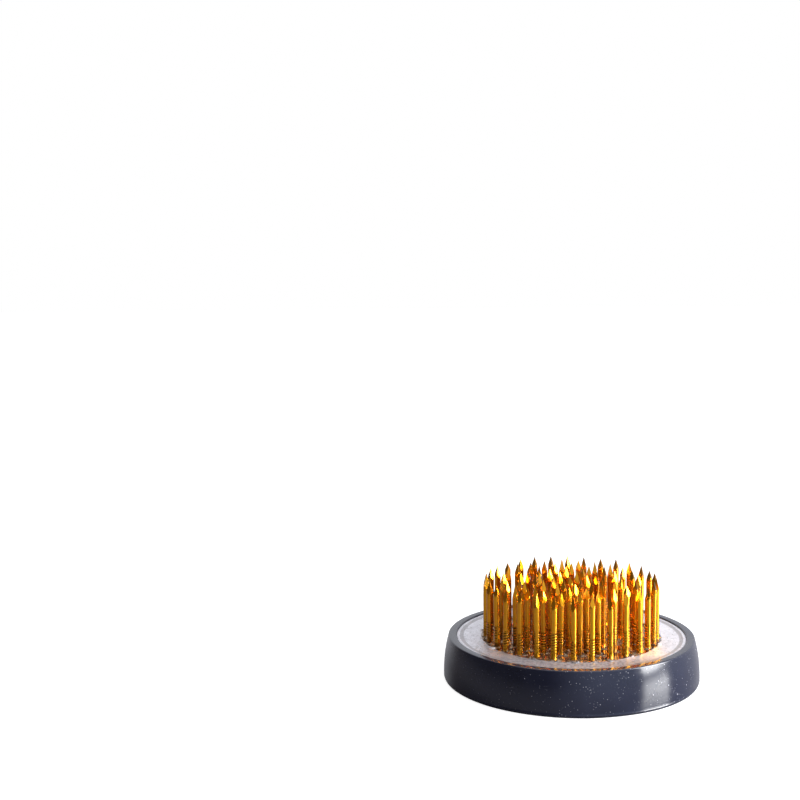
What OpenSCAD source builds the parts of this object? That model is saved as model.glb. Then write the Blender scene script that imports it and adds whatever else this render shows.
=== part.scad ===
// Flower frog: a cast lead base set with brass pins, standing in a soft rubber ring.
// +Z is up, the underside of the ring is z = 0, and the ring's axis is the Z axis.

/* [Ring] */
// Widest outside diameter of the rubber ring
ring_d = 64; // [60:0.5:70]
// Height of the ring
ring_h = 10.9; // [10:0.1:13]
// Width of the flat land round the top of the ring
ring_land = 2.1; // [1.6:0.05:2.4]
// How far the outer wall leans in from its widest place to the land
ring_lean = 1.2; // [0.8:0.05:1.6]
// Radius of the round on the lower outside edge
ring_foot_round = 0.9; // [0.5:0.1:1.3]
// Thickness of the ledge under the edge of the base
ledge_h = 1.2; // [0.8:0.1:1.6]
// Width of the ledge, in from the inner wall
ledge_w = 3.4; // [2:0.2:5]

/* [Base] */
// Depth of the base's lip below the top of the ring
lip_drop = 0.3; // [0.2:0.05:0.8]
// Height of the lip above the floor that the pins stand in
lip_h = 0.15; // [0.1:0.05:0.4]
// Width of the flat top of the lip
lip_w = 0.7; // [0.4:0.1:1.2]
// Radial clearance between the base and the ring
ring_gap = 0.05; // [0.02:0.01:0.1]

/* [Pins] */
// Number of circles of pins round the centre pin
pin_circles = 5; // [3:1:5]
// Radial distance from one circle to the next
circle_pitch = 4.25; // [3.6:0.05:4.4]
// Turn of every circle about the base's axis, in degrees
circle_phase = 8; // [0:1:59]
// Diameter of a pin's shank
shank_d = 1.55; // [1.2:0.05:1.8]
// Diameter of the head that is cast into the base
head_d = 2.4; // [2:0.1:2.8]
// Thickness of the head
head_h = 0.5; // [0.4:0.1:0.8]
// How far a pin reaches below the base's floor, head included
pin_depth = 2.5; // [1.5:0.1:5]
// Height of a pin's tip above the base's floor
tip_h = 15.3; // [12:0.1:20]
// Length of the four-sided point
point_len = 2.9; // [2.4:0.1:4]

/* [Hand-made variation] */
// Most that a tip stands above or below its height
tip_scatter = 0.3; // [0:0.05:0.5]
// Most that a point is longer or shorter than its length
point_scatter = 0.4; // [0:0.1:0.6]
// Most that a pin leans, in degrees
lean_scatter = 0.6; // [0:0.1:1]

/* [Hidden] */
$fn = 96;
sectors = 6;

ring_r = ring_d / 2;
ring_widest_z = 1.3;
land_round = 0.35;
bore_round = 0.2;
land_r = ring_r - ring_lean;
bore_r = land_r - ring_land;
wall_h = ring_h - land_round - ring_widest_z;
wall_arc_r = (pow(wall_h, 2) + pow(ring_lean, 2)) / (2 * ring_lean);
wall_arc_end = asin(wall_h / wall_arc_r);

base_r = bore_r - ring_gap;
lip_z = ring_h - lip_drop;
floor_z = lip_z - lip_h;
lip_ramp_w = 1;
base_edge = 0.5;
base_corner = 0.15;

head_z = floor_z - pin_depth;
tip_flat = 0.05;
flat_start = 1.02;
variation_seed = 7;
pin_total = 1 + 3 * pin_circles * (pin_circles + 1);
tip_rise = rands(-tip_scatter, tip_scatter, pin_total, variation_seed);
point_change = rands(-point_scatter, point_scatter, pin_total, variation_seed + 1);
lean_angle = rands(0, lean_scatter, pin_total, variation_seed + 2);
lean_heading = rands(0, 360, pin_total, variation_seed + 3);
own_turn = rands(0, 90, pin_total, variation_seed + 4);

function sector_name(circle, sector) = str("pins_circle", circle, "_sector", sector);

// Points of an arc about [x, z], from one angle to another, in steps
function arc(x, z, r, from, to, steps) =
    [for (i = [0:steps]) let (a = from + (to - from) * i / steps) [x + r * cos(a), z + r * sin(a)]];

// Pins are numbered outwards from the centre pin, which is 0
function pin_number(circle, place) = circle == 0 ? 0 : 1 + 3 * circle * (circle - 1) + place;

// Half the section of the ring, from the ledge round the foot, the wall and the land to the bore
module ring_section() {
    polygon(concat(
        [[bore_r - ledge_w, 0]],
        arc(ring_r - ring_foot_round, ring_foot_round, ring_foot_round, -90, 0, 8),
        arc(ring_r - wall_arc_r, ring_widest_z, wall_arc_r, 0, wall_arc_end, 12),
        arc(land_r - land_round, ring_h - land_round, land_round, 30, 90, 4),
        arc(bore_r + bore_round, ring_h - bore_round, bore_round, 90, 180, 4),
        [[bore_r, ledge_h], [bore_r - ledge_w, ledge_h]]
    ));
}

// Half the section of the base: a chamfered foot, the lip, and a hollow ramp down to the floor
module base_section() {
    ramp_r = (pow(lip_ramp_w, 2) + pow(lip_h, 2)) / (2 * lip_h);
    ramp_turn = asin(lip_ramp_w / ramp_r);
    ramp_start = base_r - lip_w - lip_ramp_w;
    polygon(concat(
        [[0, ledge_h], [base_r - base_edge, ledge_h], [base_r, ledge_h + base_edge]],
        arc(base_r - base_corner, lip_z - base_corner, base_corner, 0, 90, 3),
        arc(ramp_start, floor_z + ramp_r, ramp_r, ramp_turn - 90, -90, 6),
        [[0, floor_z]]
    ));
}

// A sheet that cuts two opposite flats of the point
module point_blank(length, point) {
    half = shank_d / 2 * flat_start;
    rotate([90, 0, 0])
        linear_extrude(height = 2 * shank_d, center = true)
            polygon([
                [-half, 0], [half, 0], [half, length - point],
                [tip_flat, length], [-tip_flat, length], [-half, length - point]
            ]);
}

// One pin as it comes from the heading machine, standing on its head
module pin(length, point) {
    cylinder(h = head_h, d = head_d);
    intersection() {
        cylinder(h = length, d = shank_d);
        point_blank(length, point);
        rotate(90) point_blank(length, point);
    }
}

// The hole that a pin leaves in the casting
module pin_pocket() {
    cylinder(h = head_h, d = head_d);
    cylinder(h = 2 * pin_depth, d = shank_d);
}

// Carries its children to a pin's place, with that pin's own lean and turn
module at_pin(circle, place) {
    n = pin_number(circle, place);
    rotate(circle_phase + place * 60 / max(circle, 1))
        translate([circle * circle_pitch, 0, head_z])
            rotate([0, 0, lean_heading[n]])
                rotate([0, lean_angle[n], 0])
                    rotate(own_turn[n])
                        children();
}

module placed_pin(circle, place) {
    n = pin_number(circle, place);
    color("goldenrod")
        at_pin(circle, place)
            pin(pin_depth + tip_h + tip_rise[n], point_len + point_change[n]);
}

module rubber_ring() {
    color("darkslategray") rotate_extrude($fn = 180) ring_section();
}

module lead_base() {
    color("gainsboro")
        difference() {
            rotate_extrude($fn = 180) base_section();
            at_pin(0, 0) pin_pocket();
            for (circle = [1:pin_circles], place = [0:6 * circle - 1])
                at_pin(circle, place) pin_pocket();
        }
}

module centre_pin() {
    placed_pin(0, 0);
}

// The pins of one circle that stand in one sixth of the base
module pin_sector(circle, sector) {
    for (place = [(sector - 1) * circle:sector * circle - 1])
        placed_pin(circle, place);
}

rubber_ring();
lead_base();
centre_pin();
for (circle = [1:pin_circles], sector = [1:sectors])
    pin_sector(circle, sector);
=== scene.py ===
"""Flower frog: brass pins cast into a lead base, standing in a soft rubber ring.

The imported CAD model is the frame. The classes below build the detailed ring, base and pins around
it, and every size comes from the frame's boxes or from a named field.
"""

import logging
import math
import random
from dataclasses import dataclass, field
from enum import Enum

import bmesh
import bpy
from mathutils import Matrix, Vector


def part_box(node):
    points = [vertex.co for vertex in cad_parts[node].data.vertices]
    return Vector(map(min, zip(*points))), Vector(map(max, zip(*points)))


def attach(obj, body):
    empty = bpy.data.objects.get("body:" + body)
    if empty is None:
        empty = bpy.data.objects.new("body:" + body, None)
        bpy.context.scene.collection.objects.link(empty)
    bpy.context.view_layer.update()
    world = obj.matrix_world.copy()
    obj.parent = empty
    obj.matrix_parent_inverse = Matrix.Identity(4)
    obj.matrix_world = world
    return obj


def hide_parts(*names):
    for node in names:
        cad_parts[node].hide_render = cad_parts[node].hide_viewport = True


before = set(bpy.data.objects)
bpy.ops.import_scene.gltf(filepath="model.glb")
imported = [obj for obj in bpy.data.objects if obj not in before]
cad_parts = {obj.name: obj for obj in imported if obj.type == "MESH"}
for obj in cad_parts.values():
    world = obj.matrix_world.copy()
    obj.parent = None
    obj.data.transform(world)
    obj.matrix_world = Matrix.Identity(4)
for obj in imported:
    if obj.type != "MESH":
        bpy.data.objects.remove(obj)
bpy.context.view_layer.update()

LOG = logging.getLogger("flower_frog")
MM = 0.001

Colour = tuple[float, float, float]
Range = tuple[float, float]
Profile = list[tuple[float, float]]
Socket = bpy.types.NodeSocket
Mesh = bpy.types.Mesh
Material = bpy.types.Material


class Body(Enum):
    """The CAD bodies that pieces ride on."""

    RING = "ring"
    BASE = "base"


class Slot(Enum):
    """The record's material slots."""

    RUBBER = "ring_rubber"
    LEAD = "cast_lead"
    BRASS = "pin_brass"


class LitterForm(Enum):
    """The shapes of waste among the pins, each with how flat it is."""

    CRUMB = 0.8
    FLAKE = 0.5
    CURL = 1.0


# ---------------------------------------------------------------- node wiring


class Wiring:
    """Adds nodes to one node tree and joins them up."""

    def __init__(self, tree: bpy.types.NodeTree) -> None:
        """Keeps the tree that the nodes go into.

        Args:
            tree: A shader or geometry node tree.
        """
        self.tree = tree

    def plug(self, socket: Socket, value: object) -> None:
        """Joins a socket to another one, or sets its value.

        Args:
            socket: The input socket.
            value: An output socket, or a plain value.
        """
        if isinstance(value, Socket):
            self.tree.links.new(value, socket)
        else:
            socket.default_value = value

    def add(self, kind: str, inputs: dict | None = None, **settings: object) -> bpy.types.Node:
        """Adds one node.

        Args:
            kind: The node's type name.
            inputs: Input socket names or numbers, each with a socket or a value.
            **settings: The node's own settings.

        Returns:
            The new node.
        """
        node = self.tree.nodes.new(kind)
        for name, value in settings.items():
            setattr(node, name, value)
        for key, value in (inputs or {}).items():
            self.plug(node.inputs[key], value)
        return node

    def math(self, operation: str, *values: object, clamp: bool = False) -> Socket:
        """Returns the result of one Math node on up to three values."""
        return self.add(
            "ShaderNodeMath", dict(enumerate(values)), operation=operation, use_clamp=clamp
        ).outputs[0]

    def vector(self, operation: str, *values: object) -> Socket:
        """Returns the vector result of one Vector Math node."""
        node = self.add("ShaderNodeVectorMath", dict(enumerate(values)), operation=operation)
        return node.outputs["Vector"]

    def remap(
        self,
        value: object,
        source: Range,
        target: Range = (0.0, 1.0),
        smooth: bool = True,
    ) -> Socket:
        """Maps a value from one range to another, held at the ends.

        Args:
            value: The value's socket.
            source: Where the value comes from, low end first.
            target: What the two ends become.
            smooth: True to ease in and out.

        Returns:
            The mapped value's socket.
        """
        inputs = dict(zip(range(5), (value, *source, *target)))
        kind = "SMOOTHSTEP" if smooth else "LINEAR"
        return self.add("ShaderNodeMapRange", inputs, interpolation_type=kind).outputs[0]

    def blend(self, factor: object, first: object, second: object) -> Socket:
        """Returns the colour between two colours.

        Args:
            factor: How much of the second colour there is.
            first: The colour at 0.
            second: The colour at 1.

        Returns:
            The colour's socket.
        """
        pair = [(*c, 1.0) if isinstance(c, tuple) and len(c) == 3 else c for c in (first, second)]
        node = self.add("ShaderNodeMix", {0: factor, 6: pair[0], 7: pair[1]}, data_type="RGBA")
        return node.outputs[2]

    def noise(
        self, vector: object, scale: object, detail: float = 2.0, rough: float = 0.5
    ) -> Socket:
        """Returns the value of a Noise Texture, about 0.5 on average."""
        inputs = {"Vector": vector, "Scale": scale, "Detail": detail, "Roughness": rough}
        return self.add("ShaderNodeTexNoise", inputs).outputs[0]

    def radius_of(self, place: Socket) -> Socket:
        """Returns a place's distance from the Z axis."""
        flat = self.vector("MULTIPLY", place, (1.0, 1.0, 0.0))
        return self.add("ShaderNodeVectorMath", {0: flat}, operation="LENGTH").outputs["Value"]


# -------------------------------------------------------------- shader groups


class EffectGroup(Wiring):
    """A shader node group that several finishes share."""

    def __init__(self, name: str, inputs: dict[str, float], output: str) -> None:
        """Makes the group with its sockets.

        Args:
            name: The group's name.
            inputs: Each input's name and its default value.
            output: The name of the one value that it puts out.
        """
        super().__init__(bpy.data.node_groups.new(name, "ShaderNodeTree"))
        for label, value in inputs.items():
            kind = "NodeSocketFloat"
            socket = self.tree.interface.new_socket(label, in_out="INPUT", socket_type=kind)
            socket.default_value = value
        self.tree.interface.new_socket(output, in_out="OUTPUT", socket_type="NodeSocketFloat")
        self.inputs = self.add("NodeGroupInput").outputs
        self.place = self.add("ShaderNodeTexCoord").outputs["Object"]
        self.output = output

    def close(self, value: Socket) -> bpy.types.NodeTree:
        """Joins the result to the group's output and returns the finished group."""
        self.add("NodeGroupOutput", {self.output: value})
        return self.tree

    def scale_of(self, label: str) -> Socket:
        """Returns the texture scale for a pattern whose size is an input in millimetres."""
        return self.math("DIVIDE", 1.0 / MM, self.inputs[label])

    def shifted(self) -> Socket:
        """Returns the place moved by the Shift input, so that two uses differ."""
        return self.vector("ADD", self.place, self.inputs["Shift"])

    def stretched(self, stretch: object) -> Socket:
        """Returns the place with its height multiplied, to draw a pattern out along Z."""
        axes = self.add("ShaderNodeCombineXYZ", {0: 1.0, 1: 1.0, 2: stretch}).outputs[0]
        return self.vector("MULTIPLY", self.place, axes)


def mottle_group() -> bpy.types.NodeTree:
    """Makes soft patches: lighter and darker areas from casting, drawing or handling.

    Returns:
        The finished group.
    """
    sizes = {"Patch Size mm": 4.0, "Contrast": 1.0, "Shift": 0.0}
    group = EffectGroup("soft_mottle", sizes, "Mask")
    value = group.noise(group.shifted(), group.scale_of("Patch Size mm"), 4.0, 0.55)
    centred = group.math("MULTIPLY", group.math("SUBTRACT", value, 0.5), group.inputs["Contrast"])
    return group.close(group.math("ADD", centred, 0.5, clamp=True))


def grain_group() -> bpy.types.NodeTree:
    """Makes a fine height: cast grain, moulded grain, or the lines of drawn wire.

    Returns:
        The finished group.
    """
    group = EffectGroup("fine_grain", {"Grain Size mm": 0.2, "Height Stretch": 1.0}, "Height")
    place = group.stretched(group.inputs["Height Stretch"])
    return group.close(group.noise(place, group.scale_of("Grain Size mm"), 3.0, 0.6))


def speck_group() -> bpy.types.NodeTree:
    """Makes scattered specks: dust and lint on rubber, pits in cast metal.

    Returns:
        The finished group.
    """
    smallest, sharpness = 0.35, 3.0
    sizes = {"Spacing mm": 0.8, "Speck Size": 0.1, "Share": 0.3, "Shift": 0.0}
    group = EffectGroup("scattered_specks", sizes, "Mask")
    placed = {"Vector": group.shifted(), "Scale": group.scale_of("Spacing mm")}
    cells = group.add("ShaderNodeTexVoronoi", placed).outputs
    chance = group.add("ShaderNodeSeparateColor", {0: cells["Color"]}).outputs
    spread = group.math("ADD", chance[1], smallest)
    size = group.math("MULTIPLY", group.inputs["Speck Size"], spread)
    inside = group.math("SUBTRACT", 1.0, group.math("DIVIDE", cells["Distance"], size))
    kept = group.math("LESS_THAN", chance[0], group.inputs["Share"])
    sharp = group.math("MULTIPLY", inside, sharpness, clamp=True)
    return group.close(group.math("MULTIPLY", sharp, kept))


def scuff_group() -> bpy.types.NodeTree:
    """Makes short, straight hair scuffs that run at two slants.

    Returns:
        The finished group.
    """
    thinness, slants = 0.08, (0.6, -0.9)
    stroke_edge, gate_edge = (0.68, 0.76), (0.45, 0.65)
    group = EffectGroup("hair_scuffs", {"Length mm": 4.0, "Amount": 0.5}, "Mask")
    coarse = group.scale_of("Length mm")
    fine = group.math("DIVIDE", coarse, thinness)
    strokes = 0.0
    for slant in slants:
        turn = {"Vector": group.place, "Rotation": (slant, slant, 0.0)}
        turned = group.add("ShaderNodeVectorRotate", turn, rotation_type="EULER_XYZ").outputs[0]
        drawn = group.vector("MULTIPLY", turned, (1.0, 1.0, thinness))
        stroke = group.remap(group.noise(drawn, fine, 1.0), stroke_edge)
        strokes = group.math("MAXIMUM", stroke, strokes)
    gate = group.remap(group.noise(group.place, coarse, 1.0), gate_edge)
    masked = group.math("MULTIPLY", strokes, gate)
    return group.close(group.math("MULTIPLY", masked, group.inputs["Amount"]))


@dataclass(frozen=True)
class Effects:
    """The effect groups, built once for all finishes."""

    mottle: bpy.types.NodeTree = field(default_factory=mottle_group)
    grain: bpy.types.NodeTree = field(default_factory=grain_group)
    specks: bpy.types.NodeTree = field(default_factory=speck_group)
    scuffs: bpy.types.NodeTree = field(default_factory=scuff_group)


# ------------------------------------------------------------------- finishes


class Finish(Wiring):
    """One material on a Principled shader, with its wiring."""

    def __init__(self, name: str, base: dict[str, object]) -> None:
        """Makes the material.

        Args:
            name: The material's name.
            base: Values for the shader's own sockets.
        """
        self.material = bpy.data.materials.new(name)
        self.material.use_nodes = True
        super().__init__(self.material.node_tree)
        self.shader = self.tree.nodes["Principled BSDF"]
        for key, value in base.items():
            self.shader.inputs[key].default_value = value
        self.place = self.add("ShaderNodeTexCoord").outputs["Object"]

    def effect(self, group: bpy.types.NodeTree, **inputs: float) -> Socket:
        """Places an effect group with this finish's own values.

        Args:
            group: The effect group.
            **inputs: The group's inputs, with underscores for spaces.

        Returns:
            The effect's output socket.
        """
        node = self.add("ShaderNodeGroup", node_tree=group)
        for key, value in inputs.items():
            node.inputs[key.replace("_", " ")].default_value = value
        return node.outputs[0]

    def relief(self, height: Socket, depth: float, below: Socket | None = None) -> Socket:
        """Adds a Bump node.

        Args:
            height: The height's socket.
            depth: The height of a full step, in millimetres.
            below: The normal of an earlier relief.

        Returns:
            The normal's socket.
        """
        inputs = {"Height": height, "Distance": depth * MM, "Strength": 1.0}
        node = self.add("ShaderNodeBump", inputs)
        if below is not None:
            self.plug(node.inputs["Normal"], below)
        return node.outputs[0]


@dataclass(frozen=True)
class Patches:
    """Soft patches: their size, their contrast, and a shift of their own."""

    size_mm: float
    contrast: float
    shift: float = 0.0

    def on(self, skin: Finish, effects: Effects) -> Socket:
        """Places the mottle effect on a finish."""
        own = {"Patch_Size_mm": self.size_mm, "Contrast": self.contrast, "Shift": self.shift}
        return skin.effect(effects.mottle, **own)


@dataclass(frozen=True)
class Specks:
    """Scattered specks: their spacing, their size, the share that is kept, and a shift."""

    spacing_mm: float
    size: float
    share: float
    shift: float = 0.0

    def on(self, skin: Finish, effects: Effects) -> Socket:
        """Places the speck effect on a finish."""
        own = {"Spacing_mm": self.spacing_mm, "Speck_Size": self.size}
        return skin.effect(effects.specks, Share=self.share, Shift=self.shift, **own)


@dataclass(frozen=True)
class RubberFinish:
    """Blue-black moulded rubber with a soft gloss, dust specks, faint scuffs and a painted sheen on
    the top land.
    """

    body: Colour = (0.006, 0.008, 0.018)
    worn: Colour = (0.014, 0.017, 0.036)
    dust: Colour = (0.80, 0.80, 0.86)
    land_sheen_grey: Colour = (0.11, 0.105, 0.12)
    land_z: float = 10.75 * MM
    land_fade: float = 0.25 * MM
    land_painted_sheen: float = 0.07
    land_roughness: float = 0.03
    gloss_roughness: Range = (0.13, 0.2)
    patches: Patches = Patches(9.0, 1.3)
    fine: Patches = Patches(1.1, 1.6, 0.3)
    fine_share: float = 0.4
    specks: Specks = Specks(0.65, 0.15, 0.7)
    speck_strength: float = 0.3
    motes: Specks = Specks(1.9, 0.06, 0.8, 0.5)
    scuff_mm: float = 4.0
    scuff_strength: float = 0.12
    dusty_side: Range = (-20 * MM, 8 * MM)
    dusty_share: Range = (0.3, 1.0)
    grain_mm: float = 0.12
    grain_depth_mm: float = 0.0025
    dust_depth_mm: float = 0.004

    def dirt(self, skin: Finish, effects: Effects, across: Socket) -> Socket:
        """Returns the mask of specks, motes and scuffs, with more of them towards +X.

        Args:
            skin: The finish that is being wired.
            effects: The shared effect groups.
            across: The place's X.

        Returns:
            The mask's socket.
        """
        specks = skin.math("MULTIPLY", self.specks.on(skin, effects), self.speck_strength)
        dust = skin.math("MAXIMUM", specks, self.motes.on(skin, effects))
        scuffs = skin.effect(effects.scuffs, Length_mm=self.scuff_mm, Amount=self.scuff_strength)
        dusty = skin.remap(across, self.dusty_side, self.dusty_share)
        return skin.math("MULTIPLY", skin.math("MAXIMUM", dust, scuffs), dusty)

    def material(self, effects: Effects) -> Material:
        """Builds the material from the shared effects.

        Args:
            effects: The shared effect groups.

        Returns:
            The material.
        """
        skin = Finish("moulded_rubber", {"Metallic": 0.0, "IOR": 1.5})
        axes = skin.add("ShaderNodeSeparateXYZ", {0: skin.place}).outputs
        patches, fine = self.patches.on(skin, effects), self.fine.on(skin, effects)
        dust = self.dirt(skin, effects, axes[0])
        land = skin.remap(axes[2], (self.land_z - self.land_fade, self.land_z))
        body = skin.blend(patches, self.body, self.worn)
        # painted sheen: the top land is blended a little towards a pale grey that stands in for its
        # reflection
        body = skin.blend(skin.math("MULTIPLY", land, self.land_painted_sheen), body, self.land_sheen_grey)
        skin.plug(skin.shader.inputs["Base Color"], skin.blend(dust, body, self.dust))
        fine = skin.math("MULTIPLY", fine, self.fine_share)
        rough = skin.math("MULTIPLY_ADD", patches, 1 - self.fine_share, fine)
        rough = skin.remap(rough, (0.2, 0.8), self.gloss_roughness)
        rough = skin.math("MULTIPLY_ADD", land, self.land_roughness, rough)
        skin.plug(skin.shader.inputs["Roughness"], rough)
        grain = skin.effect(effects.grain, Grain_Size_mm=self.grain_mm, Height_Stretch=1.0)
        normal = skin.relief(grain, self.grain_depth_mm)
        normal = skin.relief(dust, self.dust_depth_mm, normal)
        skin.plug(skin.shader.inputs["Normal"], normal)
        return skin.material


@dataclass(frozen=True)
class LeadFinish:
    """Pale cast lead alloy: satin at the edge, dark and shiny in the field of the pins from painted
    shade and a brown flux stain, with painted shade on its front and along the ramp.
    """

    name: str = "cast_lead_alloy"
    bright: Colour = (0.82, 0.82, 0.87)
    dull: Colour = (0.44, 0.43, 0.45)
    side: Colour = (0.60, 0.60, 0.63)
    pit: Colour = (0.13, 0.12, 0.125)
    field_shade_and_flux: Colour = (0.20, 0.145, 0.10)
    front_painted_shade: Colour = (0.11, 0.108, 0.12)
    satin: Range = (0.38, 0.56)
    shiny: Range = (0.08, 0.2)
    cast_metallic: float = 0.75
    front_shade_metal_loss: float = 0.6
    field_radius: float = 22.5 * MM
    field_edge: Range = (0.2 * MM, 0.6 * MM)
    field_rag: float = 0.7 * MM
    field_floor: float = 9.5 * MM
    field_grain: float = 0.12
    ramp_radius: float = 27.4 * MM
    ramp_edge: Range = (0.35 * MM, 0.6 * MM)
    ramp_painted_shade: float = 0.8
    front_edge: Range = (-14 * MM, -22 * MM)
    ragged: Patches = Patches(2.0, 1.5, 0.4)
    patches: Patches = Patches(6.0, 2.4, 0.1)
    fine: Patches = Patches(0.8, 2.0, 0.7)
    pits: Specks = Specks(0.5, 0.28, 0.42, 0.2)
    scuff_mm: float = 7.0
    scuff_strength: float = 0.3
    grain_mm: float = 0.28
    grain_depth_mm: float = 0.02
    pit_depth_mm: float = 0.05

    def zones(self, skin: Finish, effects: Effects) -> list[Socket]:
        """Returns four masks: the pins' field, the ramp, the top face and its front, which takes
        painted shade.

        Args:
            skin: The finish that is being wired.
            effects: The shared effect groups.

        Returns:
            The masks' sockets, in that order.
        """
        axes = skin.add("ShaderNodeSeparateXYZ", {0: skin.place}).outputs
        radius = skin.radius_of(skin.place)
        ragged = self.ragged.on(skin, effects)
        ragged = skin.math("MULTIPLY_ADD", ragged, self.field_rag, radius)
        near, far = (self.field_radius + edge for edge in self.field_edge)
        inside = skin.remap(ragged, (near, far), (1.0, 0.0))
        above = skin.math("GREATER_THAN", axes[2], self.field_floor)
        ramp = skin.math("ABSOLUTE", skin.math("SUBTRACT", radius, self.ramp_radius))
        ramp = skin.remap(ramp, self.ramp_edge, (1.0, 0.0))
        front = skin.remap(axes[1], self.front_edge)
        return [skin.math("MULTIPLY", mask, above) for mask in (inside, ramp, 1.0, front)]

    def material(self, effects: Effects) -> Material:
        """Builds the material from the shared effects.

        Args:
            effects: The shared effect groups.

        Returns:
            The material.
        """
        skin = Finish(self.name, {})
        patches, fine = self.patches.on(skin, effects), self.fine.on(skin, effects)
        pits = self.pits.on(skin, effects)
        scuffs = skin.effect(effects.scuffs, Length_mm=self.scuff_mm, Amount=self.scuff_strength)
        field, ramp, top, front = self.zones(skin, effects)
        tarnish_and_ramp_shade = skin.math("MULTIPLY", patches, fine, clamp=True)
        tarnish_and_ramp_shade = skin.math("MAXIMUM", tarnish_and_ramp_shade, scuffs)
        # painted shade: a dull band along the ramp inside the lip, added to the real tarnish
        tarnish_and_ramp_shade = skin.math("MULTIPLY_ADD", ramp, self.ramp_painted_shade, tarnish_and_ramp_shade, clamp=True)
        # painted shade on the -Y front of the top face: darker, broken by the fine patches
        front_shaded = skin.math("MULTIPLY", front, skin.remap(fine, (0.2, 0.8), (1.0, 0.62)))
        colour = skin.blend(tarnish_and_ramp_shade, self.bright, self.dull)
        colour = skin.blend(front_shaded, colour, self.front_painted_shade)
        colour = skin.blend(top, skin.blend(fine, self.side, self.dull), colour)
        # the pins' field: painted shade among the pins, together with a brown flux stain
        colour = skin.blend(field, skin.blend(pits, colour, self.pit), self.field_shade_and_flux)
        skin.plug(skin.shader.inputs["Base Color"], colour)
        satin = skin.remap(fine, (0.1, 0.9), self.satin)
        shiny = skin.remap(fine, (0.1, 0.9), self.shiny)
        rough = skin.add("ShaderNodeMix", {0: field, 2: satin, 3: shiny}).outputs[0]
        skin.plug(skin.shader.inputs["Roughness"], rough)
        oxide = skin.math("SUBTRACT", top, field)
        metal = skin.remap(oxide, (0.0, 1.0), (1.0, self.cast_metallic))
        # the painted front shade also takes away metal
        metal = skin.math("MULTIPLY_ADD", front, -self.front_shade_metal_loss, metal, clamp=True)
        skin.plug(skin.shader.inputs["Metallic"], metal)
        grain = skin.effect(effects.grain, Grain_Size_mm=self.grain_mm, Height_Stretch=1.0)
        smoother = skin.remap(field, (0.0, 1.0), (1.0, self.field_grain))
        normal = skin.relief(skin.math("MULTIPLY", grain, smoother), self.grain_depth_mm)
        normal = skin.relief(skin.math("SUBTRACT", 1.0, pits), self.pit_depth_mm, normal)
        skin.plug(skin.shader.inputs["Normal"], normal)
        return skin.material


@dataclass(frozen=True)
class BrassFinish:
    """Drawn brass wire: bright at the points, browner with painted shade at the feet, and browner
    with grime in the grip marks.
    """

    bright: Colour = (0.90, 0.41, 0.010)
    deep: Colour = (0.64, 0.215, 0.005)
    brown: Colour = (0.09, 0.022, 0.002)
    roughness: Range = (0.10, 0.22)
    lacquer: float = 0.35
    lacquer_roughness: float = 0.06
    foot_z: float = 10.4 * MM
    tip_z: float = 25.8 * MM
    tone_warmth: float = 0.45
    patch_warmth: float = 0.4
    tip_brightness: float = 0.3
    foot_share: float = 0.24
    foot_painted_shade: float = 0.85
    grime_and_shade_roughness: float = 0.25
    patches: Patches = Patches(1.6, 2.4)
    line_mm: float = 0.16
    line_draw: float = 0.03
    line_depth_mm: float = 0.006

    def material(self, effects: Effects) -> Material:
        """Builds the material from the shared effects and the pins' own attributes.

        Args:
            effects: The shared effect groups.

        Returns:
            The material.
        """
        coat = {"Coat Weight": self.lacquer, "Coat Roughness": self.lacquer_roughness}
        skin = Finish("drawn_brass", {"Metallic": 1.0} | coat)
        height = skin.add("ShaderNodeSeparateXYZ", {0: skin.place}).outputs[2]
        rise = skin.remap(height, (self.foot_z, self.tip_z), smooth=False)
        tone = skin.add("ShaderNodeAttribute", attribute_name="pin_tone").outputs["Fac"]
        grime = skin.add("ShaderNodeAttribute", attribute_name="grime").outputs["Fac"]
        patches = self.patches.on(skin, effects)
        drawn = {"Grain_Size_mm": self.line_mm, "Height_Stretch": self.line_draw}
        lines = skin.effect(effects.grain, **drawn)
        patchy = skin.math("MULTIPLY", patches, self.patch_warmth)
        warmth = skin.math("MULTIPLY_ADD", tone, self.tone_warmth, patchy)
        cooled = skin.math("MULTIPLY", rise, self.tip_brightness)
        warmth = skin.math("SUBTRACT", warmth, cooled, clamp=True)
        colour = skin.blend(warmth, self.bright, self.deep)
        # painted shade: the lower part of each pin darkens to brown towards the foot, broken by
        # patches
        foot = skin.remap(rise, (0.0, self.foot_share), (self.foot_painted_shade, 0.0))
        foot_shade = skin.math("MULTIPLY", foot, skin.remap(patches, (0.3, 0.7)))
        # dirt holds the grip marks' grime together with the painted foot shade
        dirt = skin.math("MAXIMUM", grime, foot_shade)
        skin.plug(skin.shader.inputs["Base Color"], skin.blend(dirt, colour, self.brown))
        rough = skin.remap(lines, (0.3, 0.7), self.roughness)
        rough = skin.math("MULTIPLY_ADD", dirt, self.grime_and_shade_roughness, rough)
        skin.plug(skin.shader.inputs["Roughness"], rough)
        skin.plug(skin.shader.inputs["Normal"], skin.relief(lines, self.line_depth_mm))
        return skin.material


# ------------------------------------------------------------- geometry trees


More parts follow.
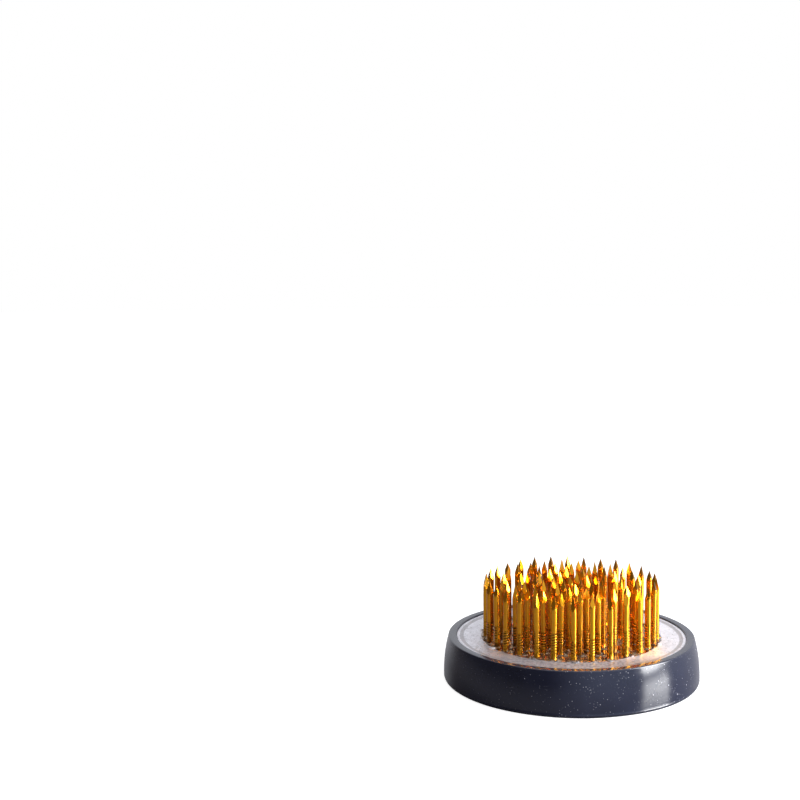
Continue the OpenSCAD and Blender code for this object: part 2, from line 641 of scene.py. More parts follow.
class GeometryTree(Wiring):
    """A Geometry Nodes tree with named inputs, whose result is taken as a plain mesh."""

    def __init__(self, name: str, inputs: dict[str, str]) -> None:
        """Makes the tree with its sockets.

        Args:
            name: The tree's name.
            inputs: Each extra input's name and its kind, such as Float or Material.
        """
        super().__init__(bpy.data.node_groups.new(name, "GeometryNodeTree"))
        sockets = self.tree.interface
        sockets.new_socket("Geometry", in_out="INPUT", socket_type="NodeSocketGeometry")
        self.names = {}
        for label, kind in inputs.items():
            socket = sockets.new_socket(label, in_out="INPUT", socket_type="NodeSocket" + kind)
            self.names[label] = socket.identifier
        sockets.new_socket("Geometry", in_out="OUTPUT", socket_type="NodeSocketGeometry")
        self.inputs = self.add("NodeGroupInput").outputs

    def close(self, geometry: Socket) -> None:
        """Ends the tree in Realize Instances and Set Material.

        Args:
            geometry: What the tree has built.
        """
        solid = self.add("GeometryNodeRealizeInstances", {0: geometry}).outputs[0]
        inputs = {"Geometry": solid, "Material": self.inputs["Finish"]}
        dressed = self.add("GeometryNodeSetMaterial", inputs).outputs[0]
        self.add("NodeGroupOutput", {0: dressed})

    def attribute(self, name: str, kind: str = "FLOAT") -> Socket:
        """Returns a named attribute of the geometry that it is used on."""
        node = self.add("GeometryNodeInputNamedAttribute", {"Name": name}, data_type=kind)
        return node.outputs["Attribute"]

    def shape_of(self, source: Socket) -> Socket:
        """Returns an object input's shape as one instance."""
        node = self.add("GeometryNodeObjectInfo", {"Object": source, "As Instance": True})
        return node.outputs["Geometry"]

    def seeded(self, low: object, high: object, seed: int, kind: str = "FLOAT") -> Socket:
        """Returns a random value for each element, with a fixed seed.

        Args:
            low: The least value.
            high: The greatest value.
            seed: The fixed seed.
            kind: The value's data type.

        Returns:
            The value's socket.
        """
        node = self.add("FunctionNodeRandomValue", data_type=kind)
        usable = [s for s in node.inputs if s.enabled]
        for socket, value in zip(usable, (low, high)):
            self.plug(socket, value)
        self.plug(node.inputs["Seed"], seed)
        return next(s for s in node.outputs if s.enabled)

    def run(self, start: Mesh, values: dict[str, object]) -> Mesh:
        """Runs the tree on a mesh.

        Args:
            start: The mesh that goes in.
            values: A value for each named input.

        Returns:
            The result as a plain mesh.
        """
        worker = bpy.data.objects.new("worker", start)
        bpy.context.scene.collection.objects.link(worker)
        modifier = worker.modifiers.new("build", "NODES")
        modifier.node_group = self.tree
        for label, value in values.items():
            modifier[self.names[label]] = value
        worker.update_tag()
        bpy.context.view_layer.update()
        graph = bpy.context.evaluated_depsgraph_get()
        mesh = bpy.data.meshes.new_from_object(worker.evaluated_get(graph), depsgraph=graph)
        bpy.data.objects.remove(worker)
        return mesh


def points_mesh(name: str, points: list[tuple[float, float, float]]) -> Mesh:
    """Returns a mesh that is only loose points.

    Args:
        name: The mesh's name.
        points: Where its points are.

    Returns:
        The mesh.
    """
    mesh = bpy.data.meshes.new(name)
    mesh.from_pydata(points, [], [])
    return mesh


def turned_tree() -> GeometryTree:
    """Makes the tree that turns an outline of (radius, height) points about Z.

    The outline's points come in as a mesh in order. A seeded ripple moves the surface along its
    normals between two radii, so that a cast or moulded face isn't perfectly true.

    Returns:
        The tree.
    """
    kinds = {
        "Finish": "Material",
        "Segments": "Int",
        "Ripple Size": "Float",
        "Ripple Height": "Float",
        "Still Radius": "Float",
        "Full Radius": "Float",
    }
    tree = GeometryTree("turned_form", kinds)
    outline = tree.inputs["Geometry"]
    count = tree.add("GeometryNodeAttributeDomainSize", {0: outline}).outputs["Point Count"]
    around = tree.math("ADD", tree.inputs["Segments"], 1.0)
    sheet = tree.add(
        "GeometryNodeMeshGrid", {"Vertices X": around, "Vertices Y": count}
    ).outputs["Mesh"]
    index = tree.add("GeometryNodeInputIndex").outputs[0]
    column = tree.math("FLOOR", tree.math("DIVIDE", tree.math("ADD", index, 0.5), count))
    row = tree.math("SUBTRACT", index, tree.math("MULTIPLY", column, count))
    turn = tree.math("MULTIPLY", tree.math("DIVIDE", column, tree.inputs["Segments"]), math.tau)
    place = tree.add("GeometryNodeInputPosition").outputs[0]
    sample = tree.add(
        "GeometryNodeSampleIndex",
        {"Geometry": outline, "Index": row},
        data_type="FLOAT_VECTOR",
        domain="POINT",
    )
    tree.plug(next(s for s in sample.inputs if s.enabled and s.name == "Value"), place)
    spot = tree.add("ShaderNodeSeparateXYZ", {0: next(s for s in sample.outputs if s.enabled)})
    x = tree.math("MULTIPLY", spot.outputs[0], tree.math("COSINE", turn))
    y = tree.math("MULTIPLY", spot.outputs[0], tree.math("SINE", turn))
    target = tree.add("ShaderNodeCombineXYZ", {0: x, 1: y, 2: spot.outputs[2]}).outputs[0]
    form = tree.add("GeometryNodeSetPosition", {"Geometry": sheet, "Position": target}).outputs[0]
    form = tree.add("GeometryNodeMergeByDistance", {"Geometry": form, "Distance": 2e-7}).outputs[0]
    scale = tree.math("DIVIDE", 1.0, tree.inputs["Ripple Size"])
    wave = tree.math("SUBTRACT", tree.noise(place, scale, 3.0, 0.45), 0.5)
    moving = (tree.inputs["Still Radius"], tree.inputs["Full Radius"])
    reach = tree.remap(tree.radius_of(place), moving)
    height = tree.math("MULTIPLY", tree.inputs["Ripple Height"], tree.math("MULTIPLY", wave, 2.0))
    height = tree.math("MULTIPLY", height, reach)
    normal = tree.add("GeometryNodeInputNormal").outputs[0]
    push = tree.add("ShaderNodeVectorMath", {0: normal, "Scale": height}, operation="SCALE")
    offset = push.outputs["Vector"]
    form = tree.add("GeometryNodeSetPosition", {"Geometry": form, "Offset": offset}).outputs[0]
    tree.close(form)
    return tree


def standing_tree(shapes: int) -> GeometryTree:
    """Makes the tree that stands one of several shapes on each point, along the point's own axis.

    Args:
        shapes: How many shapes there are to choose from.

    Returns:
        The tree.
    """
    labels = [f"Shape {n + 1}" for n in range(shapes)]
    tree = GeometryTree("standing_shapes", {"Finish": "Material"} | dict.fromkeys(labels, "Object"))
    choices = tree.add("GeometryNodeGeometryToInstance")
    for label in reversed(labels):
        tree.plug(choices.inputs[0], tree.shape_of(tree.inputs[label]))
    axis = tree.attribute("axis", "FLOAT_VECTOR")
    upright = tree.add("FunctionNodeAlignRotationToVector", {"Vector": axis}, axis="Z")
    own = tree.add("FunctionNodeAxisAngleToRotation", {"Angle": tree.attribute("turn")})
    pose = tree.add(
        "FunctionNodeRotateRotation",
        {"Rotation": upright.outputs[0], "Rotate By": own.outputs[0]},
        rotation_space="LOCAL",
    )
    size = tree.attribute("size", "FLOAT_VECTOR")
    stood = tree.add(
        "GeometryNodeInstanceOnPoints",
        {
            "Points": tree.inputs["Geometry"],
            "Instance": choices.outputs[0],
            "Pick Instance": True,
            "Instance Index": tree.attribute("form", "INT"),
            "Rotation": pose.outputs[0],
            "Scale": size,
        },
    )
    tree.close(stood.outputs[0])
    return tree


def scatter_tree() -> GeometryTree:
    """Makes the tree that drops small chips at random on the skirts round the pins' feet.

    Returns:
        The tree.
    """
    kinds = {
        "Finish": "Material",
        "Chip": "Object",
        "Skirt Radius": "Float",
        "Chips per Square Metre": "Float",
        "Smallest": "Float",
        "Largest": "Float",
        "Seed": "Int",
    }
    tree = GeometryTree("scattered_chips", kinds)
    disc = tree.add(
        "GeometryNodeMeshCircle",
        {"Vertices": 16, "Radius": tree.inputs["Skirt Radius"]},
        fill_type="NGON",
    ).outputs[0]
    skirts = tree.add(
        "GeometryNodeInstanceOnPoints", {"Points": tree.inputs["Geometry"], "Instance": disc}
    ).outputs[0]
    skirts = tree.add("GeometryNodeRealizeInstances", {0: skirts}).outputs[0]
    amount = {"Density": tree.inputs["Chips per Square Metre"], "Seed": tree.inputs["Seed"]}
    spots = tree.add("GeometryNodeDistributePointsOnFaces", {"Mesh": skirts} | amount)
    full = tree.add("ShaderNodeCombineXYZ", {0: math.tau, 1: math.tau, 2: math.tau}).outputs[0]
    turn = tree.seeded((0.0, 0.0, 0.0), full, 11, "FLOAT_VECTOR")
    size = tree.seeded(tree.inputs["Smallest"], tree.inputs["Largest"], 12)
    chips = tree.add(
        "GeometryNodeInstanceOnPoints",
        {
            "Points": spots.outputs["Points"],
            "Instance": tree.shape_of(tree.inputs["Chip"]),
            "Rotation": tree.add("FunctionNodeEulerToRotation", {0: turn}).outputs[0],
            "Scale": size,
        },
    ).outputs[0]
    tree.close(chips)
    return tree


# ------------------------------------------------------------------ mesh help


def arc(x: float, z: float, radius: float, start: float, end: float, steps: int) -> Profile:
    """Returns points of an arc about (x, z), between two angles in degrees."""
    angles = [math.radians(start + (end - start) * i / steps) for i in range(steps + 1)]
    return [(x + radius * math.cos(a), z + radius * math.sin(a)) for a in angles]


def line(
    start: tuple[float, float], end: tuple[float, float], steps: int
) -> Profile:
    """Returns evenly spaced points along a straight line, without its last one."""
    return [tuple(a + (b - a) * i / steps for a, b in zip(start, end)) for i in range(steps)]


def helper_object(name: str, mesh: Mesh) -> bpy.types.Object:
    """Returns an object that only geometry trees use, outside the scene."""
    return bpy.data.objects.new(name, mesh)


def add_piece(name: str, mesh: Mesh, body: Body, slot: Slot, *nodes: str) -> None:
    """Puts a finished mesh in the scene as a piece of the object.

    Args:
        name: The piece's name.
        mesh: Its mesh, in the row frame.
        body: The CAD body that it rides on.
        slot: The record's material slot; not used.
        *nodes: The CAD nodes that it stands for.
    """
    mesh.name = name
    mesh.update()
    piece = bpy.data.objects.new(name, mesh)
    bpy.context.scene.collection.objects.link(piece)
    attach(piece, body.value)
    if nodes:
        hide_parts(*nodes)
    LOG.info("%s: %d faces on body %s", name, len(mesh.polygons), body.value)


def facing_out(mesh: Mesh) -> Mesh:
    """Turns every face of a closed mesh outwards and returns the mesh.

    Args:
        mesh: A closed mesh.

    Returns:
        The same mesh.
    """
    shell = bmesh.new()
    shell.from_mesh(mesh)
    bmesh.ops.recalc_face_normals(shell, faces=shell.faces)
    shell.to_mesh(mesh)
    shell.free()
    return mesh


def standing_points(name: str, places: list[Vector], values: dict[str, list]) -> Mesh:
    """Returns a point for each place, with the attributes that the standing tree reads.

    Args:
        name: The mesh's name.
        places: Where the points are.
        values: Each attribute's name, with a whole number, a number or a tuple for each point.

    Returns:
        The mesh of loose points.
    """
    kinds = {int: ("INT", "value"), float: ("FLOAT", "value"), tuple: ("FLOAT_VECTOR", "vector")}
    mesh = points_mesh(name, [tuple(place) for place in places])
    for label, rows in values.items():
        kind, part = kinds[type(rows[0])]
        layer = mesh.attributes.new(label, kind, "POINT")
        for item, row in zip(layer.data, rows):
            setattr(item, part, row)
    return mesh


@dataclass(frozen=True)
class Ripple:
    """How far a turned face is from true, and how far in from the edge that starts and is full."""

    size: float
    height: float
    still: float
    full: float

    def inputs(self, edge: float) -> dict[str, float]:
        """Returns the turning tree's inputs for a form with its edge at a radius."""
        reach = {"Still Radius": edge - self.still, "Full Radius": edge - self.full}
        return {"Ripple Size": self.size, "Ripple Height": self.height} | reach


def turned_mesh(tree: GeometryTree, outline: Profile, values: dict[str, object]) -> Mesh:
    """Turns a section about Z into a smooth closed form.

    Args:
        tree: The turning tree.
        outline: The section's points as (radius, height), in order.
        values: The tree's inputs.

    Returns:
        The form's mesh.
    """
    start = points_mesh("outline", [(radius, 0.0, height) for radius, height in outline])
    mesh = facing_out(tree.run(start, values))
    mesh.shade_smooth()
    return mesh


# ------------------------------------------------------------- sub-assemblies


@dataclass
class RubberRing:
    """The soft ring: a leaning outer wall, a flat land, and a ledge under the base's edge."""

    land: float = 2.1 * MM
    lean: float = 1.2 * MM
    foot_round: float = 0.6 * MM
    widest: float = 1.3 * MM
    land_round: float = 0.35 * MM
    bore_round: float = 0.2 * MM
    ledge_width: float = 3.4 * MM
    ledge_round: float = 0.25 * MM
    foot_flat: float = 1.2 * MM
    land_tuck: float = 12.0
    seam: float = 0.05 * MM
    seam_rise: float = 0.02 * MM
    segments: int = 240
    ripple: Ripple = Ripple(16 * MM, 0.05 * MM, 3.2 * MM, 1.4 * MM)

    def outline(self) -> Profile:
        """Returns the ring's closed section, from the underside round the wall to the ledge.

        Returns:
            The section's points as (radius, height), in order.
        """
        low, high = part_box("rubber_ring")
        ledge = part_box("lead_base")[0].z
        top, outer = high.z, (high.x - low.x) / 2
        land = outer - self.lean
        bore = land - self.land
        rise = top - self.land_round - self.widest
        radius = (rise**2 + self.lean**2) / (2 * self.lean)
        tilt = math.degrees(math.asin(rise / radius))
        inner = bore - self.ledge_width
        foot, turn, brow = outer - self.seam, self.foot_round, self.land_round
        points = [(inner + self.ledge_round, 0.0), (foot - turn - self.foot_flat, 0.0)]
        points += arc(foot - turn, turn, turn, -90, 0, 10)
        points += arc(foot, turn + self.seam + self.seam_rise, self.seam, -60, 60, 4)
        points += arc(outer - radius, self.widest, radius, 0, tilt, 28)
        points += arc(land - brow, top - brow, brow, tilt + self.land_tuck, 90, 5)
        points += arc(bore + self.bore_round, top - self.bore_round, self.bore_round, 90, 180, 5)
        points += [(bore, ledge + self.ledge_round), (bore - self.ledge_round, ledge)]
        corner = self.ledge_round
        points += arc(inner + corner, ledge - corner, corner, 90, 180, 3)
        points += arc(inner + corner, corner, corner, 180, 270, 3)
        return points

    def build(self, tree: GeometryTree, finish: Material) -> None:
        """Turns the section and adds the ring to the scene, with its foot on the floor.

        Args:
            tree: The tree that turns a section.
            finish: The pieces' material.
        """
        values = {"Finish": finish, "Segments": self.segments}
        values |= self.ripple.inputs(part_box("rubber_ring")[1].x)
        mesh = turned_mesh(tree, self.outline(), values)
        for vertex in mesh.vertices:
            vertex.co.z = max(vertex.co.z, 0.0)
        add_piece("soft_rubber_ring", mesh, Body.RING, Slot.RUBBER, "rubber_ring")


@dataclass
class PinStand:
    """Where one pin stands, read from its CAD solid."""

    foot: Vector
    tip: Vector

    @property
    def axis(self) -> Vector:
        """The unit vector from the head to the tip."""
        return (self.tip - self.foot).normalized()

    @property
    def length(self) -> float:
        """The distance from the head's underside to the tip."""
        return (self.tip - self.foot).length

    def at_height(self, z: float) -> Vector:
        """Returns the point of the pin's axis at a height."""
        return self.foot + self.axis * ((z - self.foot.z) / self.axis.z)


def pin_stands(node: str, apart: float = 2 * MM) -> list[PinStand]:
    """Finds the pins of one CAD node.

    Args:
        node: The node's name.
        apart: Vertices nearer than this, seen from above, belong to one pin.

    Returns:
        One stand for each pin, in the order in which the mesh holds them.
    """
    groups: list[list[Vector]] = []
    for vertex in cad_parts[node].data.vertices:
        spot = vertex.co.copy()
        for group in groups:
            if (group[0] - spot).xy.length < apart:
                group.append(spot)
                break
        else:
            groups.append([spot])
    stands = []
    for group in groups:
        low = min(p.z for p in group)
        high = max(p.z for p in group)
        ends = []
        for level, reach in ((low, 0.1 * MM), (high, 0.02 * MM)):
            near = [p for p in group if abs(p.z - level) < reach]
            x = (min(p.x for p in near) + max(p.x for p in near)) / 2
            y = (min(p.y for p in near) + max(p.y for p in near)) / 2
            ends.append(Vector((x, y, level)))
        stands.append(PinStand(*ends))
    return stands


@dataclass
class BrassPin:
    """One headed brass pin with a diamond point and grip marks from the heading machine."""

    length: float = 17.8 * MM
    shank: float = 0.775 * MM
    head: float = 1.2 * MM
    head_height: float = 0.5 * MM
    point: float = 2.9 * MM
    skew: float = 0.0
    grip_start: float = 3.5 * MM
    grips: int = 7
    grip_pitch: float = 0.64 * MM
    grip_width: float = 0.26 * MM
    grip_depth: float = 0.055 * MM
    faint_grips: int = 2
    faint_share: float = 0.45
    jaw_gap: float = 0.3
    sides: int = 24
    seed: int = 1

    def levels(self) -> list[tuple[float, float, float]]:
        """Returns the pin's rings from the bottom up as height, radius and grip depth.

        Returns:
            The rings.
        """
        edge, flat, run_in = 0.06 * MM, 0.06 * MM, 0.5 * MM
        top = self.head_height
        rings = [(0.0, self.head - edge, 0.0), (edge, self.head, 0.0)]
        rings += [(top - edge, self.head, 0.0), (top, self.head - edge, 0.0)]
        rings += [(top, self.shank, 0.0), (self.grip_start - run_in, self.shank, 0.0)]
        for mark in range(self.grips):
            middle = self.grip_start + mark * self.grip_pitch
            depth = self.grip_depth * (self.faint_share if mark < self.faint_grips else 1.0)
            rings += [(middle - self.grip_width / 2, self.shank, 0.0)]
            rings += [(middle - flat, self.shank, depth), (middle + flat, self.shank, depth)]
            rings += [(middle + self.grip_width / 2, self.shank, 0.0)]
        steps = 4
        start = self.grip_start + self.grips * self.grip_pitch
        end = self.length - self.point - 0.4 * MM
        rings += [(start + (end - start) * i / steps, self.shank, 0.0) for i in range(steps + 1)]
        return rings + [(self.length, self.shank, 0.0)]

    def mesh(self) -> Mesh:
        """Builds the pin standing on its head at the origin.

        Returns:
            The pin's mesh.
        """
        chance = random.Random(self.seed)
        shape = bmesh.new()
        grime = shape.verts.layers.float.new("grime")
        rows = []
        for height, radius, depth in self.levels():
            drift = 0.012 * MM if height > self.head_height else 0.0
            dx, dy = chance.uniform(-drift, drift), chance.uniform(-drift, drift)
            row = []
            for side in range(self.sides):
                angle = math.tau * side / self.sides
                gripped = max(0.0, min(1.0, (abs(math.cos(angle)) - self.jaw_gap) / 0.3))
                reach = radius - depth * gripped
                spot = (dx + reach * math.cos(angle), dy + reach * math.sin(angle), height)
                vertex = shape.verts.new(spot)
                vertex[grime] = gripped * depth / self.grip_depth
                row.append(vertex)
            rows.append(row)
        for lower, upper in zip(rows, rows[1:]):
            for i in range(self.sides):
                j = (i + 1) % self.sides
                shape.faces.new((lower[i], lower[j], upper[j], upper[i])).smooth = True
        shape.faces.new(reversed(rows[0])).smooth = False
        shape.faces.new(rows[-1]).smooth = False
        self.cut_point(shape)
        bmesh.ops.recalc_face_normals(shape, faces=shape.faces)
        mesh = bpy.data.meshes.new("brass_pin")
        shape.to_mesh(mesh)
        shape.free()
        return mesh

    def cut_point(self, shape: bmesh.types.BMesh) -> None:
        """Cuts the four flats of the point, and closes each cut with one flat face.

        Args:
            shape: The pin while its end is still round.
        """
        blunt = 0.05 * MM
        for side in range(4):
            turn = math.tau * side / 4 + math.radians(45) + self.skew * (-1) ** side
            away = Vector((math.cos(turn), math.sin(turn), 0.0))
            drop = self.point * (1 + self.skew * (side - 1.5))
            normal = (away * drop + Vector((0, 0, self.shank - blunt))).normalized()
            top = away * blunt + Vector((0, 0, self.length))
            geometry = [*shape.verts, *shape.edges, *shape.faces]
            bmesh.ops.bisect_plane(
                shape, geom=geometry, plane_co=top, plane_no=normal, clear_outer=True, dist=1e-9
            )
            rim = [e for e in shape.edges if e.is_boundary]
            made = bmesh.ops.edgeloop_fill(shape, edges=rim)["faces"]
            for face in made:
                face.smooth = False


@dataclass
class PinBed:
    """All the pins, standing where the CAD pins stand."""

    node_prefix: str = "pins_circle"
    centre_node: str = "centre_pin"
    seed: int = 5
    points: tuple[float, ...] = (2.5 * MM, 2.9 * MM, 3.3 * MM, 3.0 * MM)
    skews: tuple[float, ...] = (0.03, -0.04, 0.05, 0.0)
    grip_starts: tuple[float, ...] = (3.6 * MM, 4.4 * MM, 3.2 * MM, 4.9 * MM)
    nodes: list[str] = field(default_factory=list)
    stands: dict[str, list[PinStand]] = field(default_factory=dict)

    def __post_init__(self) -> None:
        """Reads every pin from the frame."""
        circles = sorted(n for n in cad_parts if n.startswith(self.node_prefix))
        self.nodes = [self.centre_node, *circles]
        self.stands = {node: pin_stands(node) for node in self.nodes}

    @property
    def every_stand(self) -> list[PinStand]:
        """The stands of all the pins."""
        return [stand for node in self.nodes for stand in self.stands[node]]

    def stand_points(self, stands: list[PinStand], chance: random.Random) -> Mesh:
        """Returns a point for each pin, with its axis, turn, size, form and tone.

        Args:
            stands: Where the pins stand.
            chance: The seeded source of random numbers.

        Returns:
            The mesh of loose points.
        """
        nominal = BrassPin().length
        values = {
            "axis": [tuple(s.axis) for s in stands],
            "size": [(1.0, 1.0, s.length / nominal) for s in stands],
            "turn": [chance.uniform(0, math.tau) for _ in stands],
            "form": [chance.randrange(len(self.points)) for _ in stands],
            "pin_tone": [chance.random() for _ in stands],
        }
        return standing_points("pin_stands", [s.foot for s in stands], values)

    def build(self, tree: GeometryTree, finish: Material) -> None:
        """Adds one piece for each CAD node of pins.

        Args:
            tree: The tree that stands shapes on points.
            finish: The pieces' material.
        """
        chance = random.Random(self.seed)
        shapes = {}
        for n, (point, skew, grip) in enumerate(zip(self.points, self.skews, self.grip_starts)):
            pin = BrassPin(point=point, skew=skew, grip_start=grip, seed=n + 1)
            shapes[f"Shape {n + 1}"] = helper_object(f"pin_shape_{n + 1}", pin.mesh())
        for node in self.nodes:
            points = self.stand_points(self.stands[node], chance)
            mesh = tree.run(points, {"Finish": finish} | shapes)
            add_piece("brass_" + node, mesh, Body.BASE, Slot.BRASS, node)
        for helper in shapes.values():
            bpy.data.objects.remove(helper)


@dataclass
class LeadBase:
    """The cast base: a floor for the pins, a raised lip, and a free-poured underside."""

    lip_width: float = 0.7 * MM
    lip_height: float = 0.15 * MM
    ramp_width: float = 1.0 * MM
    edge: float = 0.5 * MM
    corner: float = 0.15 * MM
    lip_start: float = 0.2 * MM
    wall_start: float = 1.0 * MM
    floor_step: float = 0.55 * MM
    segments: int = 220
    ripple: Ripple = Ripple(5 * MM, 0.07 * MM, 1.4 * MM, 3.2 * MM)

    @property
    def radius(self) -> float:
        """The base's outside radius."""
        low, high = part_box("lead_base")
        return (high.x - low.x) / 2

    @property
    def floor(self) -> float:
        """The height of the floor that the pins stand in."""
        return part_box("lead_base")[1].z - self.lip_height

    def outline(self) -> Profile:
        """Returns the section from the floor's centre over the lip and round to the underside.

        Returns:
            The section's points as (radius, height), in order.
        """
        low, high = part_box("lead_base")
        bottom, top, radius = low.z, high.z, self.radius
        rise = (self.ramp_width**2 + self.lip_height**2) / (2 * self.lip_height)
        turn = math.degrees(math.asin(self.ramp_width / rise))
        ramp = radius - self.lip_width - self.ramp_width
        steps = round(ramp / self.floor_step)
        points = line((0.0, self.floor), (ramp, self.floor), steps)
        points += arc(ramp, self.floor + rise, rise, -90, turn - 90, 6)
        points += [(radius - self.lip_width + self.lip_start, top)]
        points += arc(radius - self.corner, top - self.corner, self.corner, 90, 0, 4)
        points += line((radius, top - self.wall_start), (radius, bottom + self.edge), 3)
        points += arc(radius - self.edge, bottom + self.edge, self.edge, 0, -90, 5)
        points += line((radius - 1.5 * self.edge, bottom), (0.0, bottom), 36)
        return points + [(0.0, bottom)]

    def build(self, tree: GeometryTree, finish: Material) -> None:
        """Turns the section and adds the casting to the scene.

        Args:
            tree: The tree that turns a section.
            finish: The pieces' material.
        """
        values = {"Finish": finish, "Segments": self.segments}
        values |= self.ripple.inputs(self.radius)
        mesh = turned_mesh(tree, self.outline(), values)
        add_piece("cast_lead_base", mesh, Body.BASE, Slot.LEAD, "lead_base")


@dataclass(frozen=True)
class Litter:
    """One kind of waste among the pins' feet: where it lies, how much, and how large.

    A side of -1 or 1 keeps it to that half of the pins, and 0 to the viewer's edge of the floor.
    """

    name: str
    slot: Slot
    form: LitterForm
    side: int
    density: float
    smallest: float
    largest: float
    seed: int


@dataclass
class PinFootings:
    """What the casting left round each pin: a lead collar, lead crumbs and brass chips."""

    shank: float = 0.775 * MM
    collar_reach: float = 0.45 * MM
    collar_height: float = 0.26 * MM
    skirt: float = 1.7 * MM
    overlap: float = 6 * MM
    dross_radius: float = 24.9 * MM
    dross_arc: tuple[int, int, int] = (-155, -24, 5)
    forms: int = 4
    seed: int = 21
    loads: tuple[Litter, ...] = (
        Litter("lead_crumbs", Slot.LEAD, LitterForm.CRUMB, -1, 3.8e5, 0.12, 0.38, 3),
        Litter("lead_dross", Slot.LEAD, LitterForm.CRUMB, 0, 5.0e5, 0.1, 0.26, 17),
        Litter("brass_chips", Slot.BRASS, LitterForm.FLAKE, 1, 3.0e5, 0.15, 0.45, 8),
        Litter("brass_curls", Slot.BRASS, LitterForm.CURL, 1, 0.6e5, 0.35, 0.65, 12),
    )

    def edge_stands(self, floor: float) -> list[PinStand]:
        """Returns places along the viewer's side of the floor, between the pins and the ramp.

        Args:
            floor: The height of the floor that the pins stand in.

        Returns:
            The places, each as an upright stand.
        """
        places = []
        for degrees in range(*self.dross_arc):
            turn = math.radians(degrees)
            x, y = self.dross_radius * math.cos(turn), self.dross_radius * math.sin(turn)
            places.append(PinStand(Vector((x, y, floor)), Vector((x, y, floor + MM))))
        return places

    def litter_shape(self, load: Litter) -> Mesh:
        """Builds the one shape that a kind of litter repeats.

        Args:
            load: The kind of litter.

        Returns:
            The shape's mesh.
        """
        if load.form is LitterForm.CURL:
            return self.curl(load.seed)
        return self.chip(load.seed, load.form.value)

    def collar(self, seed: int) -> Mesh:
        """Builds one ragged collar: a closed ring with a hollow outer slope.

        Args:
            seed: The shape's own seed.

        Returns:
            The collar's mesh.
        """
        chance = random.Random(seed)
        around, softness, least, jitter = 18, 1.5, 0.35, 0.12
        inner, reach = self.shank - 0.12 * MM, self.collar_reach
        section = [(inner, 1.0)]
        slope = ((0.08, 0.9), (0.3, 0.4), (0.62, 0.13), (1.0, -0.25))
        section += [(self.shank + out * reach, height) for out, height in slope]
        section += [(inner, -0.6)]
        waves = [(chance.uniform(0.1, 0.35), chance.uniform(0, math.tau), k) for k in (1, 2, 3, 5)]
        vertices = []
        for i in range(around):
            angle = math.tau * i / around
            swell = 1 + sum(a * math.sin(k * angle + p) for a, p, k in waves) / softness
            swell = max(least, swell + chance.uniform(-jitter, jitter))
            for radius, share in section:
                out = inner + (radius - inner) * swell
                height = self.collar_height * share * (swell if share > 0 else 1.0)
                vertices.append((out * math.cos(angle), out * math.sin(angle), height))
        size = len(section)
        faces = []
        for i in range(around):
            j = (i + 1) % around
            for k in range(size):
                m = (k + 1) % size
                faces.append((i * size + k, j * size + k, j * size + m, i * size + m))
        mesh = bpy.data.meshes.new("lead_collar")
        mesh.from_pydata(vertices, [], faces)
        facing_out(mesh)
        mesh.shade_smooth()
        return mesh

    def chip(self, seed: int, flatness: float) -> Mesh:
        """Builds one angular chip about 1 mm across, to be scaled down.

        Args:
            seed: The shape's own seed.
            flatness: The share of its height that the chip keeps.

        Returns:
            The chip's mesh.
        """
        chance = random.Random(seed)
        shape = bmesh.new()
        bmesh.ops.create_icosphere(shape, subdivisions=1, radius=0.5 * MM)
        for vertex in shape.verts:
            vertex.co *= chance.uniform(0.6, 1.3)
            vertex.co.z *= flatness
        mesh = bpy.data.meshes.new("chip")
        shape.to_mesh(mesh)
        shape.free()
        return mesh

    def curl(self, seed: int) -> Mesh:
        """Builds one curled shaving about 1 mm across, to be scaled down.

        Args:
            seed: The shape's own seed.

        Returns:
            The shaving's mesh.
        """
        chance = random.Random(seed)
        steps, radius, thick, wide = 7, 0.42 * MM, 0.06 * MM, 0.16 * MM
        section = ((-thick, -wide), (thick, -wide), (thick, wide), (-thick, wide))
        vertices = []
        for i in range(steps + 1):
            angle = math.radians(230) * i / steps
            rise = 0.3 * MM * i / steps + chance.uniform(-0.03, 0.03) * MM
            for out, up in section:
                reach = radius + out
                vertices.append((reach * math.cos(angle), reach * math.sin(angle), up + rise))
        faces = [(3, 2, 1, 0), tuple(4 * steps + k for k in range(4))]
        for i in range(steps):
            for k in range(4):
                m = (k + 1) % 4
                faces.append((4 * i + k, 4 * i + m, 4 * i + 4 + m, 4 * i + 4 + k))
        mesh = bpy.data.meshes.new("curl")
        mesh.from_pydata(vertices, [], faces)
        return facing_out(mesh)

    def feet(self, stands: list[PinStand], floor: float, chance: random.Random) -> Mesh:
        """Returns a point on the floor for each pin, with what the standing tree reads.

        Args:
            stands: Where the pins stand.
            floor: The height of the floor that the pins stand in.
            chance: The seeded source of random numbers.

        Returns:
            The mesh of loose points.
        """
        sizes = []
        for _ in stands:
            width = chance.uniform(0.85, 1.15)
            sizes.append((width, width, chance.uniform(0.6, 1.2)))
        values = {
            "axis": [(0.0, 0.0, 1.0) for _ in stands],
            "size": sizes,
            "turn": [chance.uniform(0, math.tau) for _ in stands],
            "form": [chance.randrange(self.forms) for _ in stands],
        }
        return standing_points("pin_feet", [s.at_height(floor) for s in stands], values)

